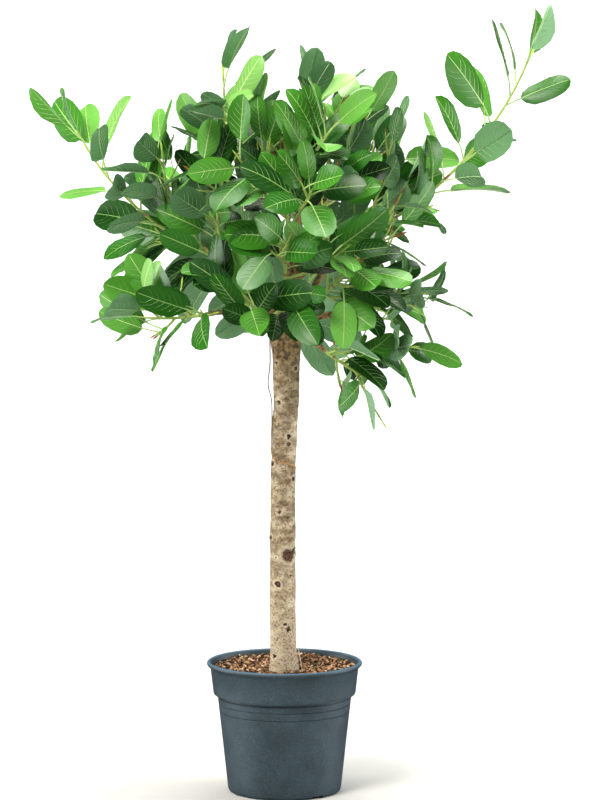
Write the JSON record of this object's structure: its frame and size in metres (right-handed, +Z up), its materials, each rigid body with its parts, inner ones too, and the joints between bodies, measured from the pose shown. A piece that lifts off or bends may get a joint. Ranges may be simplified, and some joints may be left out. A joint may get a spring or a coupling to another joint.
{
  "type": "potted fig standard tree",
  "caption": "Fig tree grown as a standard: a bare stem with an open head of big oval leaves and long shoots, in a round plastic nursery pot.",
  "frame": {"origin": "centre of the pot's flat underside", "axes": "+Z up along the trunk, -Y the front of the plant, +X to the right seen from the front"},
  "size_m": [0.9842, 0.6339, 1.459],
  "materials": {
    "pot_plastic": "matte, fine grain",
    "potting_mix": "rough bark chips",
    "bark": "rough bark",
    "foliage": "semi-gloss leaves"
  },
  "bodies": {
    "root": {"pot": "pot_plastic", "soil": "potting_mix", "trunk": "bark", "aerial_root": "bark", "leader_bough": "bark", "left_bough": "bark", "low_left_bough": "bark", "right_high_bough": "bark", "right_bough": "bark", "low_right_bough": "bark", "back_left_bough": "bark", "back_right_bough": "bark", "back_bough": "bark", "front_bough": "bark", "front_right_bough": "bark", "front_low_bough": "bark", "upper_back_bough": "bark", "upper_front_bough": "bark", "upper_left_bough": "bark", "upper_right_bough": "bark", "left_leaves": "foliage", "right_high_leaves": "foliage", "top_leaves": "foliage", "low_left_leaves": "foliage", "right_leaves": "foliage", "low_right_leaves": "foliage", "upper_left_leaves": "foliage", "upper_right_leaves": "foliage", "front_leaves": "foliage", "front_right_leaves": "foliage", "front_low_leaves": "foliage", "upper_front_leaves": "foliage", "upper_back_leaves": "foliage", "back_left_leaves": "foliage", "back_right_leaves": "foliage", "back_leaves": "foliage"}
  },
  "joints": []
}
